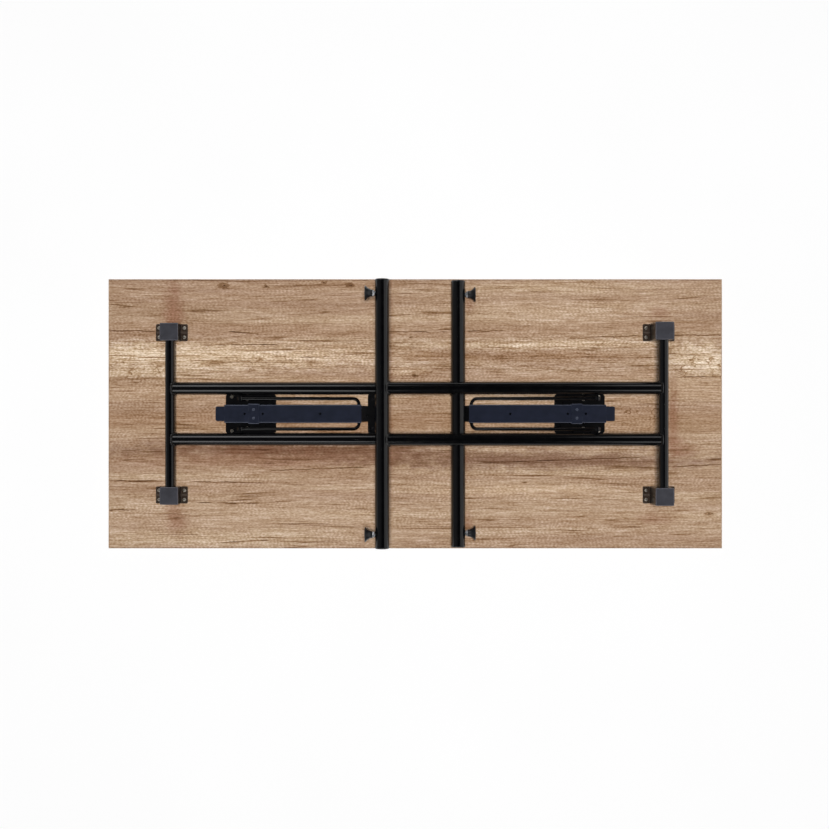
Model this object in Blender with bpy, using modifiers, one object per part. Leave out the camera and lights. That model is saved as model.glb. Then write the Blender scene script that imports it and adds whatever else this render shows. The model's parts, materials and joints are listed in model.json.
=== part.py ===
"""Folding conference table lying face down with both leg frames folded. Blender 4.5, metres, +Z up."""

import math

import bmesh
import bpy
from mathutils import Matrix, Vector

for old in list(bpy.data.objects):
    bpy.data.objects.remove(old, do_unlink=True)

# Every size below is in millimetres. MM turns it into metres when an object is made.
MM = 0.001

# Fits and facets
GAP = 0.3
BORE_ROOM = 0.3
SHEET = 2.0
STEP_IN = 0.2
SCREW_HOLE_R = 2.3
ROUND_STEPS = 28
SMALL_STEPS = 16
HOLE_STEPS = 12
SHARP = 0.6

# Tabletop
TOP_LENGTH = 1400.0
TOP_DEPTH = 614.0
TOP_THICK = 25.0
BAND = 2.0
BAND_EDGE = 0.7

# Leg frames. The left one folds flat on the underside and the right one crosses over it.
SIDES = {"left": -1, "right": 1}
ENDS = {"rear": 1, "front": -1}
TABLE_HEIGHT = 747.0
PIVOT_INSET = 145.0
BAR_R = 11.0
BAR_WALL = 1.5
POST_Y = 57.5
POST_R = 14.0
POST_WALL = 1.5
POST_LAP = 4.0
FOOT_R = 16.0
FOOT_WALL = 1.8
FOOT_SETBACK = 9.0
FOOT_CLEAR = 5.0
CROSSING_ROOM = 1.0
CAP_RIM = 3.0
CAP_PLUG = 14.0
CAP_ROUND = 1.6
PIVOT_X = TOP_LENGTH / 2 - PIVOT_INSET
LOW_RISE = FOOT_R + FOOT_CLEAR
PIVOT_RISE = {"left": LOW_RISE, "right": LOW_RISE + 2 * FOOT_R + CROSSING_ROOM}
FOOT_HALF = TOP_DEPTH / 2 - FOOT_SETBACK

# Screw-in levellers. The table stands level with each one screwed out by its side's LEVEL_TURN.
LEVELLER_INSET = 28.0
LEVELLER_OUT = 23.0
LEVEL_TURN = {"left": 10.0, "right": 0.0}
STEM_R = 4.0
STEM_ROOM = 0.6
PAD_R = 17.0
PAD_RIM = 1.6
PAD_NECK_R = 8.0
PAD_HIGH = 17.0
PAD_SOCKET = 9.0
PAD_LIP = 1.5
HEX_ACROSS = 13.0
HEX_HIGH = 3.5
BEVEL = 0.8
LEG_STAND = TABLE_HEIGHT - TOP_THICK - FOOT_R - LEVELLER_OUT
LEG_LENGTH = {s: LEG_STAND - PIVOT_RISE[s] - LEVEL_TURN[s] for s in SIDES}

# Pivot brackets and their nylon bushes
BRACKET_Y = 185.0
BRACKET_X_HALF = 21.0
BRACKET_Y_HALF = 20.0
BRACKET_EDGE = 2.6
BUSH_OVER = 1.2
BAR_IN_BUSH = 12.0
TAB_LONG = 15.3
TAB_Y_HALF = 19.5
TAB_CORNER = 3.0
SCREW_Y = 10.5
RIB_HALF = 1.5
RIB_HIGH = 7.0
RIB_END = 3.2
BAR_HALF = BRACKET_Y + BAR_IN_BUSH

# Rod stay and its runner, measured inboard from the pivot axis and up from the underside
RUN_OPEN = 206.0
RUN_ROOM = 0.35
RUNNER_HALF = 6.5
RUNNER_HIGH = 10.2
RUNNER_Y_HALF = 15.0
ROD_R = 3.75
ROD_BEND = 13.0
EYE_R = 6.5
EYE_Y_HALF = 4.0
STAY_PIN_R = 2.5
STAY_PIN_PROUD = 5.0
STAY_PIN_HEAD_R = 4.5
STAY_PIN_HEAD = 1.7
ROD_Y = POST_Y - POST_R - EYE_Y_HALF - STAY_PIN_PROUD
PLATE_TOP = GAP + SHEET
RUN_RISE = PLATE_TOP + RUN_ROOM + RUNNER_HIGH / 2

# Latch lever under the rail
LEVER_PIN_AT = 150.0
LEVER_PIN_DROP = 4.2
LEVER_PIN_R = 2.0
LEVER_SWING = 5.8
LEVER_Y_HALF = 13.5
LEVER_EAR_HALF = 6.0
THUMB_NEAR = 102.0
THUMB_LONG = 24.0
THUMB_Y_HALF = 16.4
HOOK_ROOM = 0.5
HOOK_DROP = 4.5
HOOK_TIP = 1.5
HOOK_RAMP = 5.0
HOOK_Y_HALF = 10.0
SPRING_WIRE_R = 0.5
SPRING_COIL_R = 3.2
SPRING_PITCH = 2.4
SPRING_TURNS = 4
LEVER_UNDER = RUN_RISE + RUNNER_HIGH / 2 + RUN_ROOM
LEVER_PIN_RISE = LEVER_UNDER - LEVER_PIN_DROP
HOOK_FACE = RUN_OPEN + RUNNER_HALF + HOOK_ROOM
LEVER_FAR = HOOK_FACE + HOOK_TIP + HOOK_RAMP + 0.5

# Base plate, rail and saddle of the lock unit
BASE_NEAR = 123.0
BASE_LONG = 115.0
BASE_Y_HALF = 44.5
BASE_CORNER = 6.0
BASE_SCREWS = ((137.0, 39.0), (172.0, 32.5))
EAR_HALF = 7.0
EAR_ROOM = 1.5
EAR_OVER = 4.6
EAR_CORNER = 3.0
PIN_PROUD = 1.5
RAIL_CLEAR = 9.0
RAIL_Y_HALF = 20.5
RAIL_LIP = 6.5
RAIL_BEND = 2.5
RAIL_SLOPE = 10.0
NECK_Y_HALF = 18.0
NECK_LONG = 4.0
ANCHOR_LONG = 23.0
ANCHOR_CORNER = 4.0
ANCHOR_SCREW_Y = 34.0
RAIL_HOLE_R = 2.75
RAIL_HOLE_OFF = 8.5
RAIL_HOLE_BACK = 93.0
SADDLE_LONG = 24.0
SADDLE_ROOM = 0.5
STOP_ROOM = 0.75
EAR_Y = LEVER_Y_HALF + EAR_ROOM
RAIL_TOP = LEVER_UNDER + SHEET + LEVER_SWING + SHEET
RAIL_FAR = 2 * PIVOT_X - LEG_LENGTH["left"] - FOOT_R - RAIL_CLEAR
RAIL_FOOT = RAIL_FAR + RAIL_SLOPE
RUN_FOLDED = RAIL_FAR - RUNNER_HALF + 0.5
SADDLE_FAR = RUN_OPEN - ROD_R - STOP_ROOM
SADDLE_NEAR = SADDLE_FAR - SADDLE_LONG

FINISHES = {
    "laminate": ((0.40, 0.28, 0.18), 0.0, 0.45),
    "tube": ((0.006, 0.006, 0.007), 0.0, 0.2),
    "bracket": ((0.02, 0.02, 0.023), 0.0, 0.5),
    "lock": ((0.018, 0.02, 0.03), 0.0, 0.5),
    "plastic": ((0.012, 0.012, 0.012), 0.0, 0.6),
    "nylon": ((0.03, 0.03, 0.03), 0.0, 0.5),
    "zinc": ((0.6, 0.6, 0.62), 1.0, 0.3),
}

table = bpy.data.collections.new("folding_conference_table")
bpy.context.scene.collection.children.link(table)
tools = bpy.data.collections.new("cutters")
bpy.context.scene.collection.children.link(tools)


# The finished mesh of a helper curve or profile, as a bmesh. The helper goes.
def finished(obj):
    bpy.context.scene.collection.objects.link(obj)
    seen = obj.evaluated_get(bpy.context.evaluated_depsgraph_get())
    mesh = bpy.data.meshes.new_from_object(seen)
    bm = bmesh.new()
    bm.from_mesh(mesh)
    bmesh.ops.remove_doubles(bm, verts=bm.verts, dist=0.0001)
    bmesh.ops.recalc_face_normals(bm, faces=bm.faces)
    bpy.data.objects.remove(obj, do_unlink=True)
    bpy.data.meshes.remove(mesh)
    return bm


# Moves a shape into place, and turns its faces out again where the move mirrors it.
def placed(bm, matrix):
    bm.transform(matrix)
    if bm.calc_volume(signed=True) < 0:
        bmesh.ops.reverse_faces(bm, faces=bm.faces)
    return bm


def facing(base, axis):
    return Matrix.Translation(base) @ Vector(axis).to_track_quat("Z", "Y").to_matrix().to_4x4()


# A turned piece. The profile lists radius and distance along the axis, and a ring closes on itself.
def turned(profile, base, axis, count, ring=False):
    mesh = bpy.data.meshes.new("profile")
    edges = [(i, i + 1) for i in range(len(profile) - 1)]
    if ring:
        edges.append((len(profile) - 1, 0))
    mesh.from_pydata([(r, 0, t) for r, t in profile], edges, [])
    obj = bpy.data.objects.new("profile", mesh)
    screw = obj.modifiers.new("turn", "SCREW")
    screw.axis = "Z"
    screw.steps = count
    screw.render_steps = count
    screw.use_merge_vertices = True
    screw.merge_threshold = 0.0001
    return placed(finished(obj), facing(base, axis))


def tube(start, axis, length, radius, wall, count):
    inner = radius - wall
    return turned([(radius, length), (radius, 0), (inner, 0), (inner, length)], start, axis, count, True)


def rod(start, axis, length, radius, count):
    bm = bmesh.new()
    middle = facing(start, axis) @ Matrix.Translation((0, 0, length / 2))
    sizes = {"radius1": radius, "radius2": radius, "depth": length}
    bmesh.ops.create_cone(bm, cap_ends=True, segments=count, matrix=middle, **sizes)
    return bm


def block(low, high):
    bm = bmesh.new()
    middle = [(a + b) / 2 for a, b in zip(low, high)]
    size = [b - a for a, b in zip(low, high)]
    bmesh.ops.create_cube(bm, size=1, matrix=Matrix.Translation(middle) @ Matrix.Diagonal((*size, 1)))
    return bm


def soften(bm, width, steps):
    bmesh.ops.bevel(bm, geom=bm.edges, offset=width, segments=steps, profile=0.5, affect="EDGES")
    return bm


# A flat outline given a thickness. The frame carries its own x, y and thickness to the model's axes.
def extruded(outline, low, high, frame):
    curve = bpy.data.curves.new("outline", "CURVE")
    curve.dimensions = "2D"
    curve.fill_mode = "BOTH"
    curve.extrude = (high - low) / 2
    spline = curve.splines.new("POLY")
    spline.points.add(len(outline) - 1)
    for point, (u, v) in zip(spline.points, outline):
        point.co = (u, v, 0, 1)
    spline.use_cyclic_u = True
    bm = finished(bpy.data.objects.new("outline", curve))
    return placed(bm, frame @ Matrix.Translation((0, 0, (low + high) / 2)))


# A round wire along a path.
def wire(path, radius, sides):
    curve = bpy.data.curves.new("wire", "CURVE")
    curve.dimensions = "3D"
    curve.bevel_depth = radius
    curve.bevel_resolution = sides
    curve.use_fill_caps = True
    spline = curve.splines.new("POLY")
    spline.points.add(len(path) - 1)
    for point, place in zip(spline.points, path):
        point.co = (*place, 1)
    return finished(bpy.data.objects.new("wire", curve))


# An outline with round corners, listed once round.
def rounded(low, high, radius, steps=4):
    corners = ((high[0], high[1], 0), (low[0], high[1], 90), (low[0], low[1], 180), (high[0], low[1], 270))
    outline = []
    for x, y, start in corners:
        cx = x - math.copysign(radius, x - (low[0] + high[0]) / 2)
        cy = y - math.copysign(radius, y - (low[1] + high[1]) / 2)
        for i in range(steps + 1):
            a = math.radians(start + 90 * i / steps)
            outline.append((cx + radius * math.cos(a), cy + radius * math.sin(a)))
    return outline


# Several separate shapes as one mesh, for a single Boolean.
def joined(*meshes):
    bm = bmesh.new()
    for piece in meshes:
        holder = bpy.data.meshes.new("piece")
        piece.to_mesh(holder)
        piece.free()
        bm.from_mesh(holder)
        bpy.data.meshes.remove(holder)
    return bm


# An empty on the axis that a group of pieces moves about.
def pivot(name, at):
    empty = bpy.data.objects.new(name, None)
    empty.location = Vector(at) * MM
    empty.empty_display_size = 0.05
    table.objects.link(empty)
    return empty


def make(name, bm, home, origin):
    bm.transform(Matrix.Translation(-Vector(origin)) @ Matrix.Scale(MM, 4))
    mesh = bpy.data.meshes.new(name)
    bm.to_mesh(mesh)
    bm.free()
    obj = bpy.data.objects.new(name, mesh)
    home.objects.link(obj)
    return obj


# A sub-part with its own material, carried by the empty on its axis if it moves.
def part(name, bm, finish, on=None):
    obj = make(name, bm, table, on.location if on else (0, 0, 0))
    obj.parent = on
    obj.data.shade_smooth()
    obj.data.set_sharp_from_angle(angle=SHARP)
    colour, metal, rough = FINISHES[finish]
    material = bpy.data.materials.new(name + "_" + finish)
    material.use_nodes = True
    shader = material.node_tree.nodes["Principled BSDF"]
    shader.inputs["Base Color"].default_value = (*colour, 1)
    shader.inputs["Metallic"].default_value = metal
    shader.inputs["Roughness"].default_value = rough
    obj.data.materials.append(material)
    return obj


# Adds or takes away a shape that is kept, hidden, with the cutters.
def shape(obj, bm, operation):
    cutter = make(obj.name + "_" + operation.lower(), bm, tools, (0, 0, 0))
    cutter.hide_render = True
    cutter.display_type = "WIRE"
    change = obj.modifiers.new(cutter.name, "BOOLEAN")
    change.operation = operation
    change.solver = "EXACT"
    change.object = cutter


def tabletop():
    inset = BAND + GAP
    x, y = TOP_LENGTH / 2, TOP_DEPTH / 2
    part("tabletop_panel", block((-x + inset, -y + inset, 0), (x - inset, y - inset, TOP_THICK)), "laminate")
    for end_name, end in ENDS.items():
        low, high = sorted((end * (y - BAND), end * y))
        strip = block((-x, low, 0), (x, high, TOP_THICK))
        part("edge_band_" + end_name, soften(strip, BAND_EDGE, 2), "laminate")
    for side_name, side in SIDES.items():
        low, high = sorted((side * (x - BAND), side * x))
        strip = block((low, -y + inset, 0), (high, y - inset, TOP_THICK))
        part("edge_band_" + side_name, soften(strip, BAND_EDGE, 2), "laminate")


# A pressed steel box over the bar end, with a screw tab and a stiffening rib on each side.
def pivot_bracket(side_name, end_name):
    side, end, rise = SIDES[side_name], ENDS[end_name], PIVOT_RISE[side_name]
    x, y, floor = side * PIVOT_X, end * BRACKET_Y, TOP_THICK + GAP
    top = TOP_THICK + rise + BAR_R + BUSH_OVER + GAP + SHEET
    half_x, half_y = BRACKET_X_HALF, BRACKET_Y_HALF
    shell = block((x - half_x, y - half_y, floor), (x + half_x, y + half_y, top))
    bmesh.ops.delete(shell, geom=[f for f in shell.faces if f.normal.z < -0.5], context="FACES_ONLY")
    bracket = part(side_name + "_bracket_" + end_name, shell, "bracket")
    rounding = bracket.modifiers.new("pressed_edges", "BEVEL")
    rounding.width = BRACKET_EDGE * MM
    rounding.segments = 3
    sheet = bracket.modifiers.new("sheet", "SOLIDIFY")
    sheet.thickness = SHEET * MM
    sheet.offset = -1
    tabs, ribs, holes = [], [], []
    reach = half_x + TAB_LONG
    screw_x = half_x + TAB_LONG / 2
    root = half_x - 0.75 * SHEET
    corner = rounded((reach - 3 * TAB_CORNER, -TAB_Y_HALF), (reach, TAB_Y_HALF), TAB_CORNER)
    tab = [(u, v) for u, v in corner if u > reach - 1.5 * TAB_CORNER]
    half = len(tab) // 2
    tab = tab[half:] + tab[:half] + [(root, TAB_Y_HALF), (root, -TAB_Y_HALF)]
    ramp = ((root, 0.5 * SHEET), (reach - 2.5, 0.5 * SHEET), (reach - 2.5, RIB_END), (root, RIB_HIGH))
    for way in (-1, 1):
        frame = Matrix.Translation((x, y, floor)) @ Matrix.Diagonal((way, 1, 1, 1))
        tabs.append(extruded(tab, STEP_IN, SHEET, frame))
        upright = frame @ Matrix(((1, 0, 0, 0), (0, 0, 1, 0), (0, 1, 0, 0), (0, 0, 0, 1)))
        ribs.append(extruded(ramp, -RIB_HALF, RIB_HALF, upright))
        for row in (-SCREW_Y, SCREW_Y):
            spot = (x + way * screw_x, y + row, floor - SHEET)
            holes.append(rod(spot, (0, 0, 1), 3 * SHEET, SCREW_HOLE_R, HOLE_STEPS))
    shape(bracket, joined(*tabs), "UNION")
    shape(bracket, joined(*ribs), "UNION")
    slot_r = BAR_R + 2 * BORE_ROOM
    arc = [math.radians(180 * i / 14) for i in range(15)]
    gate = [(slot_r * math.cos(a), rise + slot_r * math.sin(a)) for a in arc] + [(-slot_r, -2), (slot_r, -2)]
    front = Matrix(((1, 0, 0, x), (0, 0, 1, 0), (0, 1, 0, TOP_THICK), (0, 0, 0, 1)))
    low, high = sorted((y - end * (half_y + 3), y - end * (half_y - 2 * SHEET)))
    shape(bracket, joined(extruded(gate, low, high, front), *holes), "DIFFERENCE")
    room_x, room_y = half_x - SHEET - GAP, half_y - SHEET - GAP
    body = block((x - room_x, y - room_y, floor), (x + room_x, y + room_y, top - SHEET - GAP))
    bush = part(side_name + "_bush_" + end_name, soften(body, BEVEL, 1), "nylon")
    start = (x, y - half_y, TOP_THICK + rise)
    shape(bush, rod(start, (0, 1, 0), 2 * half_y, BAR_R + BORE_ROOM, ROUND_STEPS), "DIFFERENCE")


# Two posts welded between the pivot bar and the foot bar. The post ends are coped round both.
def leg_frame(side_name):
    side, length = SIDES[side_name], LEG_LENGTH[side_name]
    x, z = side * PIVOT_X, TOP_THICK + PIVOT_RISE[side_name]
    foot_x = x - side * length
    inboard, along = (-side, 0, 0), (0, 1, 0)
    leg = pivot(side_name + "_leg", (x, 0, z))
    bar = tube((x, -BAR_HALF, z), along, 2 * BAR_HALF, BAR_R, BAR_WALL, ROUND_STEPS)
    part(side_name + "_pivot_bar", bar, "tube", leg)
    bar = tube((foot_x, -FOOT_HALF, z), along, 2 * FOOT_HALF, FOOT_R, FOOT_WALL, ROUND_STEPS)
    foot = part(side_name + "_foot_bar", bar, "tube", leg)
    leveller_y = FOOT_HALF - LEVELLER_INSET
    holes = []
    for end in ENDS.values():
        spot = (foot_x, end * leveller_y, z)
        holes.append(rod(spot, inboard, FOOT_R + 2 * FOOT_WALL, STEM_R + STEM_ROOM, SMALL_STEPS))
    shape(foot, joined(*holes), "DIFFERENCE")
    plug_r = FOOT_R - FOOT_WALL - GAP
    cap_profile = [
        (0, CAP_RIM),
        (FOOT_R - CAP_ROUND, CAP_RIM),
        (FOOT_R - CAP_ROUND / 3, CAP_RIM - CAP_ROUND / 3),
        (FOOT_R, CAP_RIM - CAP_ROUND),
        (FOOT_R, 0),
        (plug_r, 0),
        (plug_r, -CAP_PLUG),
        (0, -CAP_PLUG),
    ]
    for end_name, end in ENDS.items():
        y = end * POST_Y
        start = (x - side * POST_LAP, y, z)
        span = length - POST_LAP - FOOT_R / 4
        pipe = tube(start, inboard, span, POST_R, POST_WALL, ROUND_STEPS)
        post = part(side_name + "_post_" + end_name, pipe, "tube", leg)
        low, wide = y - 1.3 * POST_R, 2.6 * POST_R
        at_bar = rod((x, low, z), along, wide, BAR_R + GAP, ROUND_STEPS)
        at_foot = rod((foot_x, low, z), along, wide, FOOT_R + GAP, ROUND_STEPS)
        shape(post, joined(at_bar, at_foot), "DIFFERENCE")
        cap = turned(cap_profile, (foot_x, end * (FOOT_HALF + GAP), z), (0, end, 0), ROUND_STEPS)
        part(side_name + "_end_cap_" + end_name, cap, "plastic", leg)
        leveller(side_name, end_name, (foot_x, end * leveller_y, z), inboard)


# A plastic pad on a threaded stem with a hexagon to turn it by.
def leveller(side_name, end_name, at, inboard):
    reach = FOOT_R + LEVELLER_OUT
    neck = reach - PAD_HIGH
    socket = STEM_R + GAP
    name = side_name + "_leveller_" + end_name
    screw = pivot(name, at)
    rim, deep = PAD_R - BEVEL - PAD_NECK_R, PAD_HIGH - PAD_RIM - BEVEL - PAD_LIP
    shares = [1 - i / 4 for i in range(5)]
    flare = [(PAD_NECK_R + rim * share**2, neck + PAD_LIP + deep * share) for share in shares]
    pad_profile = [
        (0, reach),
        (PAD_R - BEVEL, reach),
        (PAD_R, reach - BEVEL),
        (PAD_R, reach - PAD_RIM),
        *flare,
        (PAD_NECK_R, neck),
        (socket, neck),
        (socket, neck + PAD_SOCKET),
        (0, neck + PAD_SOCKET),
    ]
    part(name + "_pad", turned(pad_profile, at, inboard, ROUND_STEPS), "plastic", screw)
    stem_end = neck + PAD_SOCKET - GAP
    stem_profile = [(0, stem_end), (STEM_R, stem_end), (STEM_R, BEVEL), (STEM_R - BEVEL, 0), (0, 0)]
    stem = part(name + "_stem", turned(stem_profile, at, inboard, SMALL_STEPS), "zinc", screw)
    corner = HEX_ACROSS / math.sqrt(3)
    start = Vector(at) + Vector(inboard) * (neck - GAP - HEX_HIGH)
    shape(stem, rod(start, inboard, HEX_HIGH, corner, 6), "UNION")


# Base plate, rail, saddle, latch lever, runner and rod stay that hold one leg frame open.
def lock_unit(side_name):
    side, rise = SIDES[side_name], PIVOT_RISE[side_name]
    flat = Matrix(((-side, 0, 0, side * PIVOT_X), (0, 1, 0, 0), (0, 0, 1, TOP_THICK), (0, 0, 0, 1)))
    upright = flat @ Matrix(((1, 0, 0, 0), (0, 0, 1, 0), (0, 1, 0, 0), (0, 0, 0, 1)))
    endways = flat @ Matrix(((0, 0, 1, 0), (1, 0, 0, 0), (0, 1, 0, 0), (0, 0, 0, 1)))

    def put(d, y, h):
        return flat @ Vector((d, y, h))

    def drilled(d, y, low, high, radius):
        return rod(put(d, y, low), (0, 0, 1), high - low, radius, HOLE_STEPS)

    def across(d, h, half, radius):
        return rod(put(d, -half, h), (0, 1, 0), 2 * half, radius, SMALL_STEPS)

    # The section of a folded sheet channel, lips down.
    def channel(half, lip, top):
        corner = half - RAIL_BEND
        arc = [math.radians(90 * i / 4) for i in range(5)]
        bend = [(corner + RAIL_BEND * math.cos(a), top - RAIL_BEND + RAIL_BEND * math.sin(a)) for a in arc]
        outer = [(half, lip)] + bend + [(-y, h) for y, h in reversed(bend)] + [(-half, lip)]
        wall, under = half - SHEET, top - SHEET
        return outer + [(-wall, lip), (-wall, under), (wall, under), (wall, lip)]

    outline = rounded((BASE_NEAR, -BASE_Y_HALF), (BASE_NEAR + BASE_LONG, BASE_Y_HALF), BASE_CORNER)
    base = part(side_name + "_base_plate", extruded(outline, GAP, PLATE_TOP, flat), "lock")
    near, far, top = LEVER_PIN_AT - EAR_HALF, LEVER_PIN_AT + EAR_HALF, LEVER_PIN_RISE + EAR_OVER
    shoulder = top - EAR_CORNER
    ear = (
        (near, PLATE_TOP - SHEET / 2),
        (far, PLATE_TOP - SHEET / 2),
        (far, shoulder),
        (far - EAR_CORNER, top),
        (near + EAR_CORNER, top),
        (near, shoulder),
    )
    rows = [sorted((end * EAR_Y, end * (EAR_Y + SHEET))) for end in ENDS.values()]
    shape(base, joined(*[extruded(ear, low, high, upright) for low, high in rows]), "UNION")
    spots = [(d, end * y) for d, y in BASE_SCREWS for end in ENDS.values()]
    holes = [drilled(d, y, GAP - SHEET, PLATE_TOP + SHEET, SCREW_HOLE_R) for d, y in spots]
    pin_half = EAR_Y + SHEET + PIN_PROUD
    pin_hole = across(LEVER_PIN_AT, LEVER_PIN_RISE, pin_half + SHEET, LEVER_PIN_R + BORE_ROOM)
    shape(base, joined(pin_hole, *holes), "DIFFERENCE")
    part(side_name + "_lever_pin", across(LEVER_PIN_AT, LEVER_PIN_RISE, pin_half, LEVER_PIN_R), "zinc")
    part(side_name + "_latch_spring", latch_spring(put), "zinc")

    section = channel(RAIL_Y_HALF, RAIL_TOP - RAIL_LIP, RAIL_TOP)
    rail = part(side_name + "_rail", extruded(section, BASE_NEAR, RAIL_FAR, endways), "lock")
    thin = SHEET - 2 * STEP_IN
    head, tread, lap = RAIL_TOP - STEP_IN, PLATE_TOP - STEP_IN, 2 * NECK_LONG
    slope = (
        (RAIL_FAR - lap, head),
        (RAIL_FAR + 0.4 * SHEET, head),
        (RAIL_FOOT + 0.4 * SHEET, tread),
        (RAIL_FOOT + lap, tread),
        (RAIL_FOOT + lap, tread - thin),
        (RAIL_FOOT - 0.2 * SHEET, tread - thin),
        (RAIL_FAR - 0.2 * SHEET, head - thin),
        (RAIL_FAR - lap, head - thin),
    )
    shape(rail, extruded(slope, -NECK_Y_HALF, NECK_Y_HALF, upright), "UNION")
    near, far = RAIL_FOOT + NECK_LONG, RAIL_FOOT + NECK_LONG + ANCHOR_LONG
    outline = rounded((near, -BASE_Y_HALF), (far, BASE_Y_HALF), ANCHOR_CORNER)
    shape(rail, extruded(outline, GAP, PLATE_TOP, flat), "UNION")
    sights = (SADDLE_NEAR - RAIL_HOLE_OFF, SADDLE_FAR + RAIL_HOLE_OFF, RAIL_FAR - RAIL_HOLE_BACK)
    holes = [drilled(d, 0, RAIL_TOP - 2 * SHEET, RAIL_TOP + SHEET, RAIL_HOLE_R) for d in sights]
    rows = [end * ANCHOR_SCREW_Y for end in ENDS.values()]
    holes += [drilled((near + far) / 2, y, GAP - SHEET, PLATE_TOP + SHEET, SCREW_HOLE_R) for y in rows]
    shape(rail, joined(*holes), "DIFFERENCE")
    section = channel(RAIL_Y_HALF + SADDLE_ROOM + SHEET, PLATE_TOP + GAP, RAIL_TOP + GAP + SHEET)
    part(side_name + "_saddle", extruded(section, SADDLE_NEAR, SADDLE_FAR, endways), "lock")

    latch = pivot(side_name + "_latch", put(LEVER_PIN_AT, 0, LEVER_PIN_RISE))
    lever_top = LEVER_UNDER + SHEET
    thumb_far = THUMB_NEAR + THUMB_LONG
    outline = rounded((THUMB_NEAR, -THUMB_Y_HALF), (thumb_far, THUMB_Y_HALF), 3.0)
    lever = part(side_name + "_latch_lever", extruded(outline, LEVER_UNDER, lever_top, flat), "lock", latch)
    outline = rounded((thumb_far - 10, -LEVER_Y_HALF), (LEVER_FAR, LEVER_Y_HALF), 2.0)
    shape(lever, extruded(outline, LEVER_UNDER + STEP_IN, lever_top - STEP_IN, flat), "UNION")
    sunk = LEVER_UNDER + SHEET / 2
    low = LEVER_UNDER - HOOK_DROP
    tip = HOOK_FACE + HOOK_TIP
    hook = ((HOOK_FACE, sunk), (HOOK_FACE, low), (tip, low), (tip + HOOK_RAMP, sunk))
    near, far = LEVER_PIN_AT - LEVER_EAR_HALF, LEVER_PIN_AT + LEVER_EAR_HALF
    low = LEVER_PIN_RISE - 1.8 * LEVER_PIN_R
    cheek = ((near, sunk), (near + 2.5, low), (far - 2.5, low), (far, sunk))
    outer = LEVER_Y_HALF - STEP_IN
    rows = [sorted((end * (outer - SHEET), end * outer)) for end in ENDS.values()]
    bent = [extruded(hook, -HOOK_Y_HALF, HOOK_Y_HALF, upright)]
    bent += [extruded(cheek, low, high, upright) for low, high in rows]
    shape(lever, joined(*bent), "UNION")
    bore = across(LEVER_PIN_AT, LEVER_PIN_RISE, LEVER_Y_HALF + SHEET, LEVER_PIN_R + BORE_ROOM)
    shape(lever, bore, "DIFFERENCE")

    runner = pivot(side_name + "_runner_axle", put(RUN_FOLDED, 0, RUN_RISE))
    low = put(RUN_FOLDED - RUNNER_HALF, -RUNNER_Y_HALF, RUN_RISE - RUNNER_HIGH / 2)
    high = put(RUN_FOLDED + RUNNER_HALF, RUNNER_Y_HALF, RUN_RISE + RUNNER_HIGH / 2)
    low.x, high.x = sorted((low.x, high.x))
    slider = part(side_name + "_runner", soften(block(low, high), BEVEL, 1), "nylon", runner)
    shape(slider, across(RUN_FOLDED, RUN_RISE, RUNNER_Y_HALF + SHEET, ROD_R + BORE_ROOM), "DIFFERENCE")
    rod_stay(side_name, rise, put, runner)


# A torsion spring round the lever pin. One leg bears on the base plate, the other lifts the thumb end.
def latch_spring(put):
    per_turn = 10
    steps = round((SPRING_TURNS + 0.5) * per_turn)
    half = SPRING_PITCH * SPRING_TURNS / 2
    coil = []
    for i in range(steps + 1):
        a = -math.pi / 2 - 2 * math.pi * i / per_turn
        d = LEVER_PIN_AT + SPRING_COIL_R * math.cos(a)
        h = LEVER_PIN_RISE + SPRING_COIL_R * math.sin(a)
        coil.append(put(d, -half + 2 * half * i / steps, h))
    foot = put(LEVER_PIN_AT + 4 * SPRING_COIL_R, -half, PLATE_TOP + GAP + SPRING_WIRE_R)
    finger = put(LEVER_PIN_AT - 3 * SPRING_COIL_R, half, LEVER_UNDER - 3 * SPRING_WIRE_R)
    least = min((a - b).length for i, a in enumerate(coil) for b in coil[i + per_turn // 2 :])
    print("latch spring, least gap to itself in mm:", round(least - 2 * SPRING_WIRE_R, 2))
    return wire([foot] + coil + [finger], SPRING_WIRE_R, 1)


# A bent rod whose eyes sit where its length suits the folded leg and the open one.
def rod_stay(side_name, rise, put, runner):
    drop = rise - RUN_RISE
    eye_at = (RUN_FOLDED**2 - RUN_OPEN**2) / (2 * (RUN_FOLDED + drop))
    slope = math.atan2(drop, RUN_FOLDED - eye_at)
    reach = math.hypot(RUN_FOLDED - eye_at, drop)
    arc = [math.radians(90 * i / 6) for i in range(7)]
    bend = [(ROD_BEND * (1 - math.sin(a)), -ROD_Y + ROD_BEND * (1 - math.cos(a))) for a in arc]
    half = [(reach - 0.7 * EYE_R, -ROD_Y)] + bend
    path = half + [(a, -y) for a, y in reversed(half)]
    path = [put(RUN_FOLDED - a * math.cos(slope), y, RUN_RISE + a * math.sin(slope)) for a, y in path]
    stay = part(side_name + "_stay", wire(path, ROD_R, 4), "tube", runner)
    wall = EYE_R - STAY_PIN_R - BORE_ROOM
    starts = [put(eye_at, end * ROD_Y - EYE_Y_HALF, rise) for end in ENDS.values()]
    eyes = [tube(start, (0, 1, 0), 2 * EYE_Y_HALF, EYE_R, wall, SMALL_STEPS) for start in starts]
    shape(stay, joined(*eyes), "UNION")
    head = ROD_Y - EYE_Y_HALF - GAP
    outer = POST_Y - POST_R - GAP
    profile = [
        (0, outer),
        (STAY_PIN_R, outer),
        (STAY_PIN_R, head),
        (STAY_PIN_HEAD_R, head),
        (STAY_PIN_HEAD_R, head - STAY_PIN_HEAD + BEVEL),
        (STAY_PIN_HEAD_R - BEVEL, head - STAY_PIN_HEAD),
        (0, head - STAY_PIN_HEAD),
    ]
    for end_name, end in ENDS.items():
        pin = turned(profile, put(eye_at, 0, rise), (0, end, 0), SMALL_STEPS)
        part(side_name + "_stay_pin_" + end_name, pin, "zinc", runner)


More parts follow.
